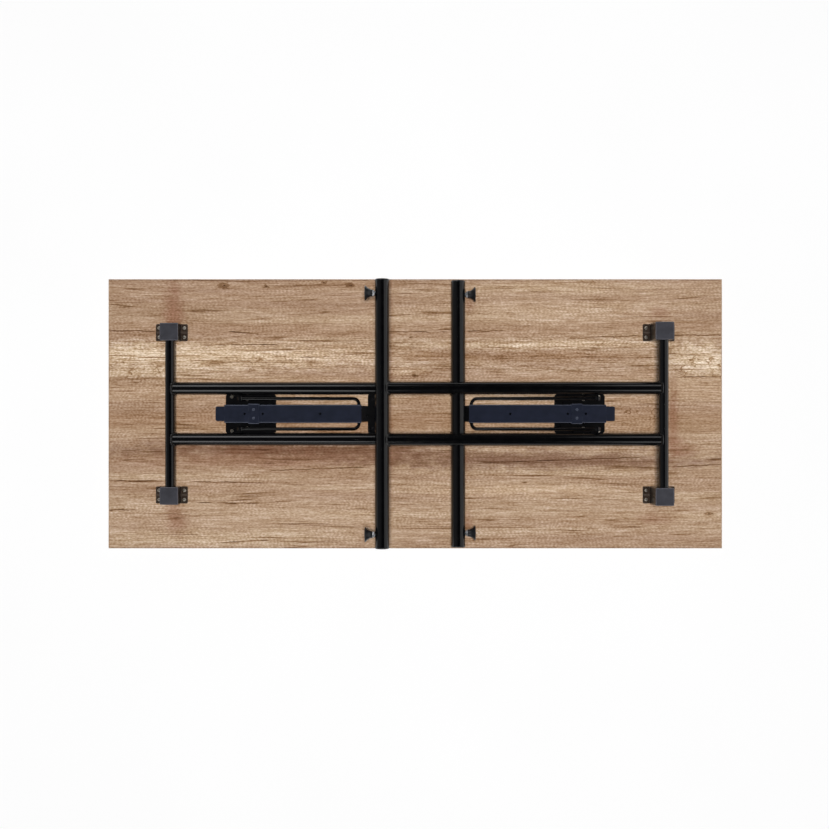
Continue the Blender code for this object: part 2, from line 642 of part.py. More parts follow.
tabletop()
for side_name in SIDES:
    for end_name in ENDS:
        pivot_bracket(side_name, end_name)
    leg_frame(side_name)
    lock_unit(side_name)
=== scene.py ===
"""Looks of the folding conference table: oak print, coats, screws, rivets, threads and welds."""

import json
import math

import bmesh
import bpy
from mathutils import Matrix, Vector


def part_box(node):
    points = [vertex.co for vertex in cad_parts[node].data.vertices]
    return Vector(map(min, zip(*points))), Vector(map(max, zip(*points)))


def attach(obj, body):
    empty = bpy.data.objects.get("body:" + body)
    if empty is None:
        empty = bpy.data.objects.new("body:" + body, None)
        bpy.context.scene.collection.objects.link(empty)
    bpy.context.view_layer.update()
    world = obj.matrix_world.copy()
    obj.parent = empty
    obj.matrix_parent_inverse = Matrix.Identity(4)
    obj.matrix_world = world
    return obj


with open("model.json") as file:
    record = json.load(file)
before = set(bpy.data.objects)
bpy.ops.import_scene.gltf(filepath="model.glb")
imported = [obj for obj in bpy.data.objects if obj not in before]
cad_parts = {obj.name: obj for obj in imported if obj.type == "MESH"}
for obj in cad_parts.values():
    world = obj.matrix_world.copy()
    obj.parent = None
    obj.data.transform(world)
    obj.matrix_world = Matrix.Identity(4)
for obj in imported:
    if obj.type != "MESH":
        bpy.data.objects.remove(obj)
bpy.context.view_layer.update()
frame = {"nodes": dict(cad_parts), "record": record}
nodes = frame["nodes"]

# Sizes are in millimetres where a value is multiplied by MM.
MM = 0.001
SIDES = {"left": -1, "right": 1}
ENDS = {"rear": 1, "front": -1}

# Where finishes change on CAD pieces: how far from the table's middle the thumb end comes out of
# the rail, half the strip along a rail that holds its holes, how high a bracket's tabs reach, how
# long a rail's far end is, painted black as the shade under the foot bar, and how far up a face
# has to look to count as top
THUMB_INNER = 428.0
HOLE_CLEAR = 5.0
TAB_HIGH = 9.0
RAIL_SHADED_END_LONG = 37.0
TOP_LOOK = 0.3

# Screw heads: a dome on a straight rim, with a tapered cross recess
HEAD_R = 3.9
HEAD_HIGH = 2.2
FLUSH_HIGH = 0.9
HEAD_RIM = 0.35
HEAD_STEPS = 32
DOME_STEPS = 6
HEAD_TURN = 37.0
RECESS_WIDE = 1.3
RECESS_LONG = 4.6
RECESS_SHARE = 0.6
RECESS_TAPER = 0.55

# Seats of the screws: on sheet of this thickness, off a bracket's middle, in from a base plate's
# outer end and off the middle line, in from a rail's far end and off the middle line
SHEET = 2.0
TAB_SCREW = (28.65, 10.5)
PLATE_SCREWS = ((14.0, 39.0), (49.0, 32.5))
ANCHOR_SCREW = (11.5, 34.0)

# Saddle rivets: the dimple is given as radius and share of the height
RIVET_R = 3.1
RIVET_HIGH = 1.1
RIVET_DIMPLE = ((0, 0.45), (0.9, 0.5), (1.3, 0.95))
RIVET_STEPS = 5
RIVET_Y = 9.7

# Threads: the ridge starts and ends at a share of its size and is whole a fifth of the way in
STEM_R = 4.0
THREAD_PITCH = 1.25
THREAD_RIDGE = 0.34
THREAD_STEPS = 16
THREAD_SINK = 12.0
THREAD_TIP = 0.15
THREAD_GROW = 4
HEX_KEEP = 4.2

# Welds
WELD_R = 3.0
WELD_RIPPLE = 0.16
WELD_RIPPLES = 18
WELD_STEPS = 144

# Facets that meet at less than this angle are shaded as one, and corners this close are one.
SMOOTH_LIMIT = math.radians(32)
CORNER_GAP = 0.002
TURNED_GAP = 0.01

# Camera: straight above the underside, at the photograph's distance and framing
CAMERA_HIGH = 2600.0
CAMERA_X = -1.7
CAMERA_Y = -1.6
CAMERA_LENS = 49.48

# Studio: the white of the walls and their greys from left to right, the floor's width in metres,
# how far it lies under the table, the size of its clouds, how much of what is seen of it is glow,
# and the distances between which it turns to the walls' white
WALL_WHITE = "#F4F4F4"
WALL_GREYS = ((0.0, "#7C7C7E"), (0.45, "#666668"), (0.7, "#3C3C3E"), (0.9, "#1C1C1E"))
FLOOR_WIDE = 14
FLOOR_DROP = 0.3
FLOOR_CLOUD = (400, 400, 400)
FLOOR_GLOW = 0.75
FADE_FROM = 2000.0
FADE_TO = 6000.0


# An sRGB hex colour as linear values with alpha.
def srgb(code):
    shares = [int(code[i : i + 2], 16) / 255 for i in (1, 3, 5)]
    return (*[c / 12.92 if c <= 0.04045 else ((c + 0.055) / 1.055) ** 2.4 for c in shares], 1.0)


# Adds a node and links it. Inputs fill its open sockets in order, or by name when they come in a
# dict. A node given as an input stands for its first open output. Stops fill a colour ramp.
def add(tree, kind, *inputs, stops=(), **settings):
    made = tree.nodes.new("ShaderNode" + kind)
    for name, value in settings.items():
        setattr(made, name, value)
    pairs = zip([socket for socket in made.inputs if socket.enabled], inputs)
    if inputs and isinstance(inputs[0], dict):
        pairs = [(made.inputs[name], value) for name, value in inputs[0].items()]
    for socket, value in pairs:
        if isinstance(value, bpy.types.Node):
            value = next(out for out in value.outputs if out.enabled)
        if isinstance(value, bpy.types.NodeSocket):
            tree.links.new(value, socket)
        else:
            socket.default_value = value
    for i, (place, tone) in enumerate(stops):
        element = made.color_ramp.elements[i] if i < 2 else made.color_ramp.elements.new(1.0)
        element.position = place
        element.color = srgb(tone)
    return made


# A new material with an empty tree, and the place on its surface in millimetres.
def start(name):
    material = bpy.data.materials.new(name)
    material.use_nodes = True
    tree = material.node_tree
    tree.nodes.clear()
    spot = add(tree, "TexCoord").outputs["Object"]
    return material, tree, add(tree, "VectorMath", spot, 1 / MM, operation="SCALE")


# Noise whose blotches have the given size in millimetres along each axis.
def blotches(tree, place, size, detail=2.0, rough=0.5):
    shrunk = add(tree, "VectorMath", place, tuple(1 / s for s in size), operation="MULTIPLY")
    return add(tree, "TexNoise", shrunk, 1.0, detail, rough)


# How far a place is from an oval's middle, as a share of its half sizes.
def oval(tree, place, middle_x, middle_y, half_x, half_y):
    moved = add(tree, "VectorMath", place, (middle_x, middle_y, 0), operation="SUBTRACT")
    shrunk = add(tree, "VectorMath", moved, (1 / half_x, 1 / half_y, 0), operation="MULTIPLY")
    return add(tree, "VectorMath", shrunk, operation="LENGTH")


# How far apart two values are.
def apart(tree, one, other):
    gap = add(tree, "Math", one, other, operation="SUBTRACT")
    return add(tree, "Math", gap, operation="ABSOLUTE")


# Rustic oak print: melamine paper pressed on board. Long grain, pale and red streaks, fine splits
# along the grain, saw marks across it, a few small knots, and reddish brown painted shadows beside
# the bars, brackets and levellers and below the front left post. Grain runs along x, or along y on
# the end bands. Fibres, pores and splits are drawn at 2 to 6 mm, coarser than real, so that they
# show.
OAK_TONES = ((0.25, "#987961"), (0.45, "#A98B71"), (0.6, "#B2967B"), (0.78, "#C4AA8D"))

# Bands along the whole grain: middle, half width in millimetres, tone, greatest share
OAK_BANDS = (
    (192, 24, "#A07F62", 0.35),
    (60, 30, "#C3A384", 0.25),
    (-20, 26, "#95704F", 0.45),
    (-235, 40, "#BBA085", 0.35),
)

# Streaks and stains, and painted shadows: the #7E4B32 patches are painted shadow beside the
# brackets, bars and levellers, #633E29 is the painted shadow below the front left post, and
# #8A6248 and #765440 darken bands below the front posts. Columns: middle x and y, half length,
# half width in millimetres, tone, greatest share
OAK_STAINS_AND_SHADOWS = (
    (-590, 232, 230, 22, "#8F6E52", 0.45),
    (-450, 132, 430, 32, "#DCC2A2", 0.6),
    (-650, 143, 110, 24, "#E2CBAE", 0.5),
    (330, 158, 300, 10, "#D8BE9F", 0.5),
    (652, 122, 90, 42, "#E4CDB0", 0.7),
    (300, 134, 330, 10, "#9A7654", 0.45),
    (20, 134, 100, 12, "#96714F", 0.4),
    (-190, 157, 130, 9, "#9A7654", 0.35),
    (10, 27, 90, 16, "#8A6446", 0.5),
    (-640, 77, 90, 14, "#94745A", 0.4),
    (-310, -84, 380, 19, "#633E29", 0.9),
    (-300, -106, 380, 22, "#8A6248", 0.6),
    (250, -104, 480, 22, "#765440", 0.85),
    (600, -78, 45, 20, "#7E4B32", 0.5),
    (470, -235, 180, 22, "#9C7A5C", 0.35),
    (-420, -285, 320, 22, "#CDB598", 0.5),
    (320, 290, 260, 16, "#C9AF90", 0.4),
    (300, 235, 320, 38, "#CBB094", 0.4),
    (240, -174, 230, 14, "#C9AC8C", 0.45),
    (-20, 100, 60, 10, "#CDB090", 0.4),
    (-160, 294, 110, 12, "#94704F", 0.4),
    (-552, 236, 22, 66, "#7E4B32", 0.6),
    (-545, -240, 26, 40, "#7E4B32", 0.5),
    (556, 232, 22, 16, "#7E4B32", 0.35),
    (545, -236, 40, 14, "#7E4B32", 0.4),
    (588, -10, 13, 95, "#7E4B32", 0.5),
    (-60, 60, 9, 330, "#7E4B32", 0.35),
    (108, 60, 9, 330, "#7E4B32", 0.35),
    (124, 246, 14, 22, "#7E4B32", 0.4),
    (118, -240, 12, 26, "#7E4B32", 0.4),
)

# Splits: start x and y, end x and y in millimetres. Those that run out at an edge end beyond it.
OAK_SPLITS = (
    (-730, 190, -582, 188),
    (-433, 189, -350, 181),
    (-485, 157, -300, 159),
    (-268, 129, -200, 130),
    (-730, -152, -578, -154),
    (-521, -154, -329, -158),
    (-353, -130, -95, -121),
    (-730, -221, -630, -219),
    (-510, -202, -345, -205),
    (-453, -295, -325, -287),
    (335, 171, 522, 179),
    (522, 179, 730, 180),
    (111, 188, 211, 190),
    (-70, 188, 90, 187),
    (575, 84, 735, 85),
    (113, -113, 553, -98),
    (580, -121, 730, -115),
)

# Zones of curly cracks: middle x and y, half length and half width in millimetres
OAK_CURLS = (
    (645, 115, 105, 58),
    (-640, 98, 85, 42),
    (505, 5, 70, 45),
    (-330, 112, 120, 26),
)

# Knots: middle x and y, half length and half width in millimetres
OAK_KNOTS = (
    (-341, 294, 9, 5),
    (-208, 299, 8, 4),
    (-437, 296, 16, 8),
    (0, 90, 9, 5),
    (-10, 175, 4, 3),
    (250, -156, 6, 3),
    (671, -228, 12, 4),
    (-150, 292, 12, 6),
)

# Painted shade on the board under the rails, black, that shows through the rails' holes as the
# dark inside of a rail: middle x and y, half length and half width in millimetres.
SHADE_UNDER_RAILS = ((-214, 0, 60, 14), (214, 0, 60, 14))
RAIL_SHADE_TONE = "#020202"

# Sizes of the print's patterns in millimetres: along the grain, across it, through the board
CLOUD_SIZE = (700, 34, 40)
SWAY_SIZE = (420, 110, 60)
PATCH_EDGE_SIZE = (24, 14, 10)
STREAK_SIZE = (160, 6.0, 16)
FIBRE_SIZE = (55, 2.6, 6)
PORE_SIZE = (6.5, 2.6, 4)
SAW_DRIFT_SIZE = (40, 9, 30)
SAW_PATCH_SIZE = (170, 50, 40)
RIPPLE_SIZE = (26, 60, 60)
SPLIT_FADE_SIZE = (24, 14, 10)
GNARL_SIZE = (7, 3.5, 5)

# Lines along the contours of a noise: its size, how far off its contour they end, the size of the
# noise that breaks them up, from where to where in it they come in, and how dark they are
CHECK_LINES = ((520, 11, 30), 0.024, (150, 8, 20), (0.5, 0.6), 0.62)
CURL_LINES = ((34, 22, 20), 0.03, (30, 30, 20), (0.46, 0.56), 0.55)
LINE_CORE = 0.006

# Amounts in millimetres: how far the grain sways and splits wander, the middle of the figured zone
# and how far off it the grain calms down, the saw's step and row, half a split and its soft rim
SWAY = 7.0
RIPPLE = 3.0
FIGURE_Y = 135.0
FIGURE_FADE = (25.0, 60.0)
SAW_PITCH = 9.0
SAW_ROW = 7.0
SPLIT_HALF = 1.5
SPLIT_SOFT = 1.0

# Shares: how much livelier the figured zone is, how much a crack darkens, how patch edges and knots
# wander, and the powers by which green and blue fall faster than red in dark grain
FIGURE_LIVELY = 1.42
CRACK_DARK = 0.93
PATCH_EDGE = 0.8
GNARL = 0.9
GREEN_POWER = 1.33
BLUE_POWER = 1.8

# Setting of a range that eases in and out
EASED = {"interpolation_type": "SMOOTHSTEP"}


# The board's tone: soft clouds along the grain, then bands, streaks and stains, and the painted
# shadows beside bars, brackets and posts.
def oak_tone(tree, place, grain):
    across = add(tree, "SeparateXYZ", grain).outputs["Y"]
    clouds = blotches(tree, grain, CLOUD_SIZE, 3.0, 0.55)
    colour = add(tree, "ValToRGB", clouds, stops=OAK_TONES)
    for middle, half, tone, most in OAK_BANDS:
        off = apart(tree, across, middle)
        share = add(tree, "MapRange", off, 0.3 * half, 1.5 * half, most, 0.0, **EASED)
        colour = add(tree, "Mix", share, colour, srgb(tone), data_type="RGBA")
    edge = blotches(tree, place, PATCH_EDGE_SIZE, 3.0)
    ragged = add(tree, "MapRange", edge, 0.0, 1.0, -PATCH_EDGE, PATCH_EDGE)
    # Streaks and stains, and the painted shadows beside bars, brackets and posts
    for *spot, tone, most in OAK_STAINS_AND_SHADOWS:
        far = add(tree, "Math", oval(tree, grain, *spot), ragged)
        share = add(tree, "MapRange", far, 0.1, 1.5, most, 0.0, **EASED)
        colour = add(tree, "Mix", share, colour, srgb(tone), data_type="RGBA")
    return colour


# How much streaks, fibres and pores darken or pale the tone, most in the figured zone, together
# with saw marks: bars across the grain, out of step from row to row, in patches.
def oak_grain(tree, place, grain, fibre):
    along, across, _ = add(tree, "SeparateXYZ", grain).outputs
    streak = blotches(tree, grain, STREAK_SIZE, 2.0, 0.6)
    pore = blotches(tree, grain, PORE_SIZE, 1.0, 0.6)
    fine = add(tree, "Math", streak, 0.6, fibre, operation="MULTIPLY_ADD")
    fine = add(tree, "Math", fine, add(tree, "Math", pore, 1.3, operation="SUBTRACT"))
    off = apart(tree, across, FIGURE_Y)
    lively = add(tree, "MapRange", off, *FIGURE_FADE, FIGURE_LIVELY, 1.0)
    shade = add(tree, "Math", fine, lively, 1.0, operation="MULTIPLY_ADD")

    rows = add(tree, "Math", across, SAW_ROW, operation="DIVIDE")
    row = add(tree, "Math", rows, operation="FLOOR")
    chance = add(tree, "TexWhiteNoise", row, noise_dimensions="1D")
    step = add(tree, "Math", chance, 2 * math.pi, operation="MULTIPLY")
    drift = blotches(tree, place, SAW_DRIFT_SIZE, 1.0)
    uneven = add(tree, "Math", drift, 12.0, step, operation="MULTIPLY_ADD")
    phase = add(tree, "Math", along, 2 * math.pi / SAW_PITCH, uneven, operation="MULTIPLY_ADD")
    bars = add(tree, "Math", phase, operation="SINE")
    patches = blotches(tree, place, SAW_PATCH_SIZE, 1.0)
    depth = add(tree, "MapRange", patches, 0.42, 0.62, 0.02, 0.1)
    marks = add(tree, "Math", bars, depth, 1.0, operation="MULTIPLY_ADD")
    return add(tree, "Math", shade, marks, operation="MULTIPLY")


# Lines along the contours of a noise, broken up by another.
def broken_lines(tree, place, size, thick, gap_size, gap_range, most):
    off = apart(tree, blotches(tree, place, size), 0.5)
    line = add(tree, "MapRange", off, LINE_CORE, thick, 1.0, 0.0)
    keep = add(tree, "MapRange", blotches(tree, place, gap_size), *gap_range, 0.0, most)
    return add(tree, "Math", line, keep, operation="MULTIPLY")


# Long splits taper to nothing at both ends, wander a little and fade here and there.
def oak_splits(tree, place):
    x, y, _ = add(tree, "SeparateXYZ", place).outputs
    waves = blotches(tree, place, RIPPLE_SIZE, 3.0)
    y_split = add(tree, "Math", y, add(tree, "MapRange", waves, 0.0, 1.0, -RIPPLE, RIPPLE))
    splits = 0.0
    for x_from, y_from, x_to, y_to in OAK_SPLITS:
        share = add(tree, "MapRange", x, x_from, x_to, 0.0, 1.0)
        swell = add(tree, "Math", share, 0.5, operation="PINGPONG")
        swell = add(tree, "Math", swell, 8.0 * SPLIT_HALF, operation="MULTIPLY")
        swell = add(tree, "Math", swell, SPLIT_HALF, operation="MINIMUM")
        line = add(tree, "MapRange", x, x_from, x_to, y_from, y_to)
        inside = add(tree, "Math", swell, apart(tree, y_split, line), operation="SUBTRACT")
        split = add(tree, "MapRange", inside, 0.0, SPLIT_SOFT, 0.0, 1.0)
        splits = add(tree, "Math", splits, split, operation="MAXIMUM")
    faded = add(tree, "MapRange", blotches(tree, place, SPLIT_FADE_SIZE), 0.35, 0.6, 0.5, 0.95)
    return add(tree, "Math", splits, faded, operation="MULTIPLY")


# How dark checks along the grain, curly cracks, splits and ringed knots are, from 0 to 1.
def oak_cracks(tree, place, grain):
    dark = broken_lines(tree, grain, *CHECK_LINES)
    curls = broken_lines(tree, place, *CURL_LINES)
    for zone in OAK_CURLS:
        near = add(tree, "MapRange", oval(tree, place, *zone), 0.6, 1.1, 1.0, 0.0)
        curl = add(tree, "Math", curls, near, operation="MULTIPLY")
        dark = add(tree, "Math", dark, curl, operation="MAXIMUM")
    dark = add(tree, "Math", dark, oak_splits(tree, place), operation="MAXIMUM")
    twist = blotches(tree, place, GNARL_SIZE)
    gnarl = add(tree, "MapRange", twist, 0.0, 1.0, -GNARL, GNARL)
    for knot in OAK_KNOTS:
        far = add(tree, "Math", oval(tree, grain, *knot), gnarl)
        wave = add(tree, "Math", far, 9.0, operation="MULTIPLY")
        wave = add(tree, "Math", wave, operation="COSINE")
        rings = add(tree, "Math", wave, 0.4, 1.0, operation="MULTIPLY_ADD")
        core = add(tree, "MapRange", far, 0.2, 1.3, 0.7, 0.0, **EASED)
        ringed = add(tree, "Math", core, rings, operation="MULTIPLY")
        dark = add(tree, "Math", dark, ringed, operation="MAXIMUM")
    return dark


def oak_print(name, along="x"):
    material, tree, place = start(name)
    x, y, z = add(tree, "SeparateXYZ", place).outputs
    if along == "y":
        x, y = y, x
    place = add(tree, "CombineXYZ", x, y, z)
    sway = add(tree, "MapRange", blotches(tree, place, SWAY_SIZE), 0.0, 1.0, -SWAY, SWAY)
    grain = add(tree, "CombineXYZ", x, add(tree, "Math", y, sway), z)
    fibre = blotches(tree, grain, FIBRE_SIZE, 1.0, 0.6)
    dark = oak_cracks(tree, place, grain)

    # Dark grain, cracks and knots are browner than the board, and pale grain is whiter
    spared = add(tree, "Math", dark, -CRACK_DARK, 1.0, operation="MULTIPLY_ADD")
    shade = oak_grain(tree, place, grain, fibre)
    shade = add(tree, "Math", shade, spared, operation="MULTIPLY")
    green = add(tree, "Math", shade, GREEN_POWER, operation="POWER")
    blue = add(tree, "Math", shade, BLUE_POWER, operation="POWER")
    tint = add(tree, "CombineColor", shade, green, blue)
    colour = oak_tone(tree, place, grain)
    colour = add(tree, "Mix", 1.0, colour, tint, data_type="RGBA", blend_type="MULTIPLY")
    # Painted shade, black, under the rails, seen through their holes
    for mark in SHADE_UNDER_RAILS:
        share = add(tree, "MapRange", oval(tree, place, *mark), 0.8, 1.2, 1.0, 0.0)
        colour = add(tree, "Mix", share, colour, srgb(RAIL_SHADE_TONE), data_type="RGBA")

    gloss = add(tree, "MapRange", fibre, 0.0, 1.0, 0.5, 0.64)
    height = add(tree, "Math", fibre, dark, operation="SUBTRACT")
    bump = add(tree, "Bump", {"Height": height, "Strength": 0.3, "Distance": 0.15 * MM})
    skin = {"Base Color": colour, "Roughness": gloss, "Normal": bump, "IOR": 1.5}
    add(tree, "OutputMaterial", add(tree, "BsdfPrincipled", skin))
    return material


# Powder coat: baked paint with a faint orange peel, drawn at 3 mm so that it shows. Where an edge
# colour is given, sharp edges are paler, partly rubbed wear and partly painted highlight, apart
# from hole rims within clear of the middle line, and the bends between top and side carry a
# painted highlight. Nearer the table's middle than the given distance, the piece lies inside
# another one and is painted black as the shade in there.
PEEL_SIZE = (3, 3, 3)
PEEL_HIGH = 0.2
COAT_CLOUD = (14, 14, 14)
EDGE_WEAR_AND_LIGHT_WIDE = 0.9
INSIDE_SHADE_TONE = "#010101"


def powder_coat(name, dark, pale, rough, peel, edge=None, clear=0.0, painted_shade_within=None):
    material, tree, place = start(name)
    cloud = blotches(tree, place, COAT_CLOUD, 3.0)
    colour = add(tree, "ValToRGB", cloud, stops=((0.3, dark), (0.7, pale)))
    # Paler sharp edges, partly wear and partly painted highlight, and a painted highlight on bends
    if edge:
        flat = add(tree, "NewGeometry").outputs["Normal"]
        rounded = add(tree, "Bevel", EDGE_WEAR_AND_LIGHT_WIDE * MM, samples=4)
        turn = add(tree, "VectorMath", flat, rounded, operation="DOT_PRODUCT")
        y = add(tree, "SeparateXYZ", place).outputs["Y"]
        aside = add(tree, "Math", y, operation="ABSOLUTE")
        most = add(tree, "MapRange", aside, clear, clear + 1.0, 0.0, 0.8)
        rubbed_and_lit_edges = add(tree, "MapRange", turn, 0.99, 0.8, 0.0, most)
        upward = add(tree, "SeparateXYZ", add(tree, "TexCoord").outputs["Normal"]).outputs["Z"]
        over_side = add(tree, "MapRange", upward, 0.3, 0.6, 0.0, 1.0)
        under_top = add(tree, "MapRange", upward, 0.98, 0.9, 0.0, 1.0)
        bend_highlight = add(tree, "Math", over_side, under_top, operation="MINIMUM")
        wear_and_highlight = add(tree, "Math", bend_highlight, rubbed_and_lit_edges, operation="MAXIMUM")
        colour = add(tree, "Mix", wear_and_highlight, colour, srgb(edge), data_type="RGBA")
    # Painted shade: black where the piece lies inside another, nearer the middle than the given
    # distance
    if painted_shade_within:
        x = add(tree, "SeparateXYZ", place).outputs["X"]
        out = add(tree, "Math", x, operation="ABSOLUTE")
        share = add(tree, "MapRange", out, painted_shade_within, painted_shade_within - 3.0, 0.0, 1.0)
        colour = add(tree, "Mix", share, colour, srgb(INSIDE_SHADE_TONE), data_type="RGBA")
    gloss = add(tree, "MapRange", cloud, 0.0, 1.0, rough - 0.04, rough + 0.05)
    height = blotches(tree, place, PEEL_SIZE)
    bump = add(tree, "Bump", {"Height": height, "Strength": peel, "Distance": PEEL_HIGH * MM})
    skin = {"Base Color": colour, "Roughness": gloss, "Normal": bump, "IOR": 1.5}
    add(tree, "OutputMaterial", add(tree, "BsdfPrincipled", skin))
    return material


# Moulded plastic: a fine spark-eroded grain, drawn at 1.6 mm so that it shows, and slight clouding.
MOULD_GRAIN = (1.6, 1.6, 1.6)
MOULD_HIGH = 0.1
MOULD_CLOUD = (9, 9, 9)


def moulded(name, dark, pale, rough):
    material, tree, place = start(name)
    cloud = blotches(tree, place, MOULD_CLOUD, 3.0)
    colour = add(tree, "ValToRGB", cloud, stops=((0.3, dark), (0.7, pale)))
    grit = blotches(tree, place, MOULD_GRAIN)
    gloss = add(tree, "MapRange", grit, 0.0, 1.0, rough - 0.06, rough + 0.08)
    bump = add(tree, "Bump", {"Height": grit, "Strength": 0.15, "Distance": MOULD_HIGH * MM})
    skin = {"Base Color": colour, "Roughness": gloss, "Normal": bump, "IOR": 1.49}
    add(tree, "OutputMaterial", add(tree, "BsdfPrincipled", skin))
    return material


# Plated or blacked steel: a metal with soft cloudy patches and an uneven gloss, bright or dulled.
PLATING_CLOUD = (2.5, 2.5, 2.5)


def plated(name, dark, pale, rough):
    material, tree, place = start(name)
    cloud = blotches(tree, place, PLATING_CLOUD, 3.0)
    colour = add(tree, "ValToRGB", cloud, stops=((0.3, dark), (0.7, pale)))
    gloss = add(tree, "MapRange", cloud, 0.0, 1.0, rough - 0.09, rough + 0.09)
    skin = {"Base Color": colour, "Roughness": gloss, "Metallic": 1.0}
    add(tree, "OutputMaterial", add(tree, "BsdfPrincipled", skin))
    return material


OAK = oak_print("oak_print_laminate")
OAK_END = oak_print("oak_print_edge_band", "y")

# Tubes, stays and welds: deep gloss that draws the lamps as long streaks
TUBE = powder_coat("gloss_black_powder_coat", "#020203", "#050506", 0.17, 0.04)

# Bracket tops: satin black coat, painted dark grey as the sheen of a soft lamp on it, with paler
# edges, partly wear and partly painted highlight
BRACKET_TOP_SHEEN = powder_coat("satin_black_coat_painted_sheen", "#2F2F34", "#3B3B41", 0.5, 0.12, "#55555C")

# Bracket tabs: thin and brownish, half matt
TAB = powder_coat("bronze_black_dip_coat", "#271E17", "#352A22", 0.45, 0.1, "#6E625A")

# Base plates and bracket sides: thin and black, half gloss. The rail ends get it as painted shade,
# where they lie under the foot bars
PLATE = powder_coat("black_dip_coat", "#040405", "#09090A", 0.28, 0.1, "#1C1C1F")

# Rails and saddles: slate blue satin. On the levers it stops where they go into the rail, and
# inside it the levers are painted black as the shade in there.
SLATE_LOOK = ("#151925", "#1B1F2D", 0.4, 0.1, "#4A4F5C")
SLATE = powder_coat("slate_powder_coat", *SLATE_LOOK, clear=HOLE_CLEAR)
LEVER = powder_coat("slate_coat_painted_shade_inside", *SLATE_LOOK, painted_shade_within=THUMB_INNER)

# Bushes and runners: dull. Pads and caps: smoother, with a soft shine
NYLON = moulded("black_nylon", "#0E0E0F", "#161617", 0.5)
PLASTIC = moulded("black_polypropylene", "#141517", "#1E1F22", 0.3)

# Leveller stems: bright. Screws: gone dull, pale flecks. Pins and springs: dark
ZINC = plated("bright_zinc_plate", "#9A9C9F", "#D2D3D6", 0.37)
DULL_ZINC = plated("dull_zinc_plate", "#BDB6AA", "#ECE6DB", 0.55)
BLACKED = plated("black_oxide_steel", "#17171A", "#2C2C30", 0.37)

FINISH = {
    "laminate": OAK,
    "edge_band": OAK,
    "black_tube": TUBE,
    "black_bracket": BRACKET_TOP_SHEEN,
    "slate_lock": SLATE,
    "nylon": NYLON,
    "black_plastic": PLASTIC,
    "zinc": ZINC,
}


# Round CAD faces get normals that run on across facets, taken from corners that share a place.
def smooth_rounds(obj):
    mesh = obj.data
    around = {}
    for face in mesh.polygons:
        for corner in face.vertices:
            key = tuple(round(c, 6) for c in mesh.vertices[corner].co)
            around.setdefault(key, []).append(face)
    least = math.cos(SMOOTH_LIMIT)
    normals = []
    for face in mesh.polygons:
        for corner in face.vertices:
            near = around[tuple(round(c, 6) for c in mesh.vertices[corner].co)]
            total = Vector()
            for other in near:
                if other.normal.dot(face.normal) > least:
                    total += other.normal * other.area
            normals.append(total.normalized() if total.length else face.normal.copy())
    mesh.shade_smooth()
    mesh.normals_split_custom_set(normals)


# Gives another finish to the chosen faces of a node.
def paint(obj, finish, chosen):
    obj.data.materials.append(finish)
    for face in obj.data.polygons:
        if chosen(face):
            face.material_index = len(obj.data.materials) - 1


# Finishes of the CAD nodes. Bracket sides, bracket tabs and rail ends differ from the rest of them.
# The bracket tops carry a painted grey sheen, and the rail ends are painted black as shade.
def dress_nodes():
    for entry in frame["record"]["subparts"]:
        name, slot = entry["node"], entry["material_slot"]
        obj, finish = nodes[name], FINISH[slot]
        if name in ("edge_band_left", "edge_band_right"):
            finish = OAK_END
        if name.endswith("base_plate"):
            finish = PLATE
        if "_pin" in name or name.endswith("_spring"):
            finish = BLACKED
        if name.endswith("_lever"):
            finish = LEVER
        obj.data.materials.clear()
        obj.data.materials.append(finish)
        if slot not in ("laminate", "edge_band"):
            smooth_rounds(obj)
    for side_name, side in SIDES.items():
        for end_name in ENDS:
            obj = nodes[f"{side_name}_bracket_{end_name}"]
            tab_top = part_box(obj.name)[0].z + TAB_HIGH * MM
            # Bracket sides keep the black coat, and the tops keep the painted grey sheen
            paint(obj, PLATE, lambda face: face.normal.z < TOP_LOOK)
            paint(obj, TAB, lambda face: face.center.z < tab_top)
        # The rail's far end under the foot bar is painted black as shade
        obj = nodes[side_name + "_rail"]
        low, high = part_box(obj.name)
        shade_from = -side * (high.x if side < 0 else low.x) - RAIL_SHADED_END_LONG * MM
        paint(obj, PLATE, lambda face: -side * face.center.x > shade_from)


# The finished mesh of an object with modifiers, or of a curve. The object goes.
def finished(obj):
    bpy.context.scene.collection.objects.link(obj)
    bpy.context.view_layer.update()
    seen = obj.evaluated_get(bpy.context.evaluated_depsgraph_get())
    mesh = bpy.data.meshes.new_from_object(seen)
    bpy.data.objects.remove(obj, do_unlink=True)
    return mesh


# A piece of the scene that moves with a body.
def piece(name, bm, material, body):
    bmesh.ops.remove_doubles(bm, verts=bm.verts, dist=CORNER_GAP * MM)
    bmesh.ops.recalc_face_normals(bm, faces=bm.faces)
    mesh = bpy.data.meshes.new(name)
    bm.to_mesh(mesh)
    bm.free()
    mesh.materials.append(material)
    mesh.shade_smooth()
    mesh.set_sharp_from_angle(angle=SMOOTH_LIMIT)
    obj = bpy.data.objects.new(name, mesh)
    bpy.context.scene.collection.objects.link(obj)
    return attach(obj, body)


# A turned solid from a profile of radius and height in millimetres.
def turned(profile, steps):
    mesh = bpy.data.meshes.new("profile")
    edges = [(i, i + 1) for i in range(len(profile) - 1)]
    mesh.from_pydata([(r * MM, 0, h * MM) for r, h in profile], edges, [])
    obj = bpy.data.objects.new("profile", mesh)
    screw = obj.modifiers.new("turn", "SCREW")
    screw.axis = "Z"
    screw.steps = steps
    screw.render_steps = steps
    screw.use_merge_vertices = True
    screw.merge_threshold = TURNED_GAP * MM
    return finished(obj)


# Angles from the top of a dome down to its rim.
def dome_angles(steps):
    return [math.radians(90 * i / steps) for i in range(steps + 1)]


